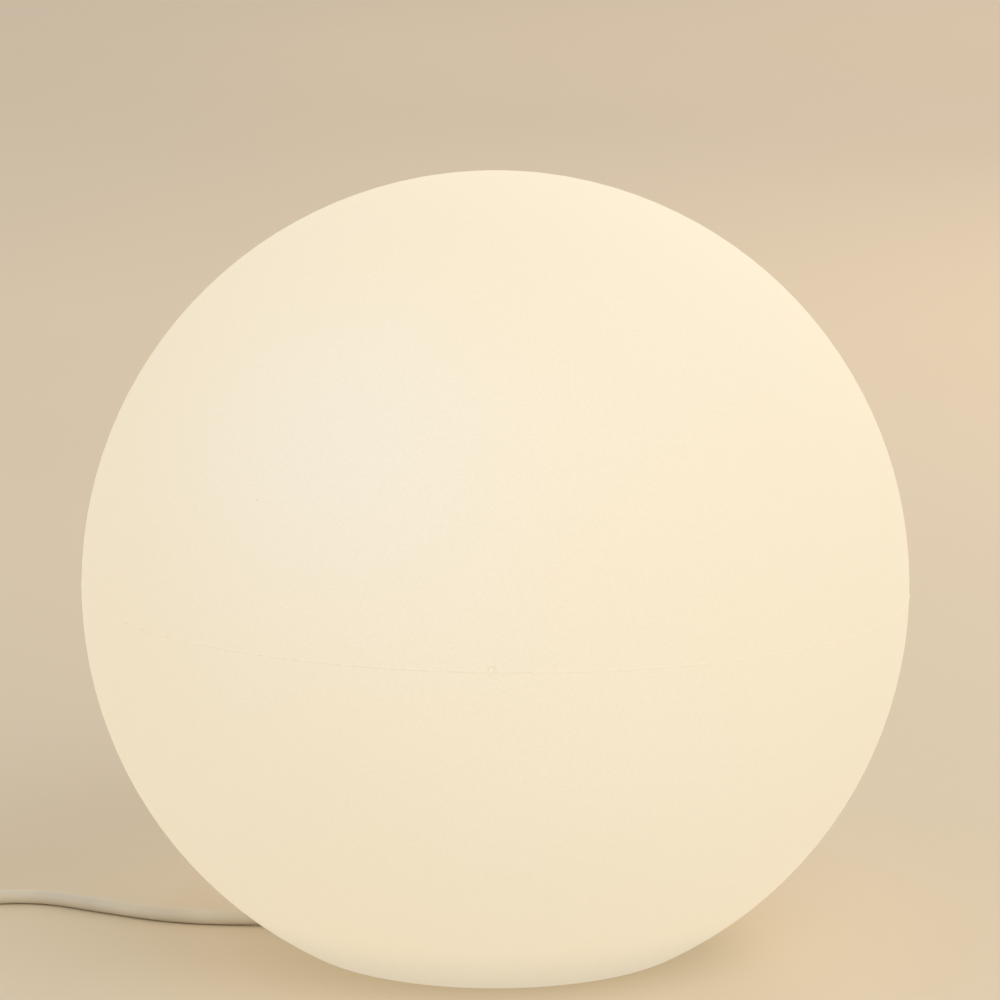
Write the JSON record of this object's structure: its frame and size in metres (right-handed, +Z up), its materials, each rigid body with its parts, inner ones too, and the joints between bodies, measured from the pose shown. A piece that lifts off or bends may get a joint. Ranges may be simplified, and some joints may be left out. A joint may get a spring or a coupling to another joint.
{
  "type": "garden globe light",
  "caption": "Round garden light: a hollow white globe with a flat foot lifts off a sealed base unit with a lamp holder and bulb, on a mains cord with plug.",
  "frame": {"origin": "on the ground under the globe's centre", "axes": "+Z up, the cord leaves the foot towards -X, and the pictured side faces -Y, seen from 11 degrees towards +X"},
  "size_m": [0.6186, 0.4339, 0.3771],
  "materials": {
    "globe_polyethylene": "satin matte, rotomoulded",
    "base_plastic": "fine moulded",
    "post_plastic": "fine moulded",
    "gasket_rubber": "matte",
    "foot_rubber": "matte",
    "screw_steel": "zinc plated",
    "insert_brass": "turned",
    "contact_brass": "pressed",
    "nipple_zinc": "zinc plated",
    "holder_thermoplastic": "moulded gloss",
    "holder_ceramic": "glazed",
    "shell_nickel": "nickel plated, rolled",
    "tip_solder": "soldered",
    "insulator_black": "glossy",
    "bulb_housing_white": "satin",
    "bulb_diffuser_opal": "opal satin",
    "board_aluminium": "white solder mask",
    "led_phosphor": "gloss",
    "driver_laminate": "solder mask",
    "driver_component": "sleeved",
    "cord_white": "satin",
    "wire_brown": "satin",
    "wire_blue": "satin",
    "plug_white": "moulded",
    "pin_nickel": "nickel plated"
  },
  "bodies": {
    "base": {"base_lid": "base_plastic", "base_gasket": "gasket_rubber", "lid_screws": "screw_steel", "turret_seal": "gasket_rubber", "bottom_cover": "base_plastic", "cover_screws": "screw_steel", "rubber_feet": "foot_rubber", "holder_post": "post_plastic", "post_screws": "screw_steel", "wire_grommet": "gasket_rubber", "threaded_nipple": "nipple_zinc", "nipple_nuts": "nipple_zinc", "holder_cap": "holder_thermoplastic", "holder_skirt": "holder_thermoplastic", "holder_block": "holder_ceramic", "terminals": "insert_brass", "terminal_screws": "screw_steel", "centre_contact": "contact_brass", "screw_shell": "shell_nickel", "cord_boot": "cord_white", "cord_saddle": "base_plastic", "saddle_screws": "screw_steel", "cord_inner": "cord_white", "live_wire": "wire_brown", "neutral_wire": "wire_blue", "cord_lead": "cord_white", "cord_coil": "cord_white", "cord_tail": "cord_white", "plug_body": "plug_white", "plug_pins": "pin_nickel"},
    "globe": {"globe_shell": "globe_polyethylene", "threaded_inserts": "insert_brass"},
    "bulb_tip": {"bulb_tip_contact": "tip_solder", "bulb_insulator": "insulator_black"},
    "bulb": {"bulb_cap": "shell_nickel", "bulb_housing": "bulb_housing_white", "bulb_diffuser": "bulb_diffuser_opal", "led_board": "board_aluminium", "led_chips": "led_phosphor", "driver_board": "driver_laminate", "driver_parts": "driver_component"}
  },
  "joints": [
    {"name": "globe_lift", "type": "slide", "parent": "base", "child": "globe", "axis": [0, 0, 1], "range_m": [0, 0.18]},
    {"name": "bulb_rise", "type": "slide", "parent": "base", "child": "bulb_tip", "axis": [0, 0, 1], "range_m": [0, 0.0128]},
    {"name": "bulb_turn", "type": "hinge", "parent": "bulb_tip", "child": "bulb", "pos_m": [0, 0, 0.15], "axis": [0, 0, 1], "range_deg": [0, 1260]}
  ],
  "couplings": [
    {"joint": "bulb_rise", "follows": "bulb_turn", "m_per_rad": 0.00057614}
  ]
}
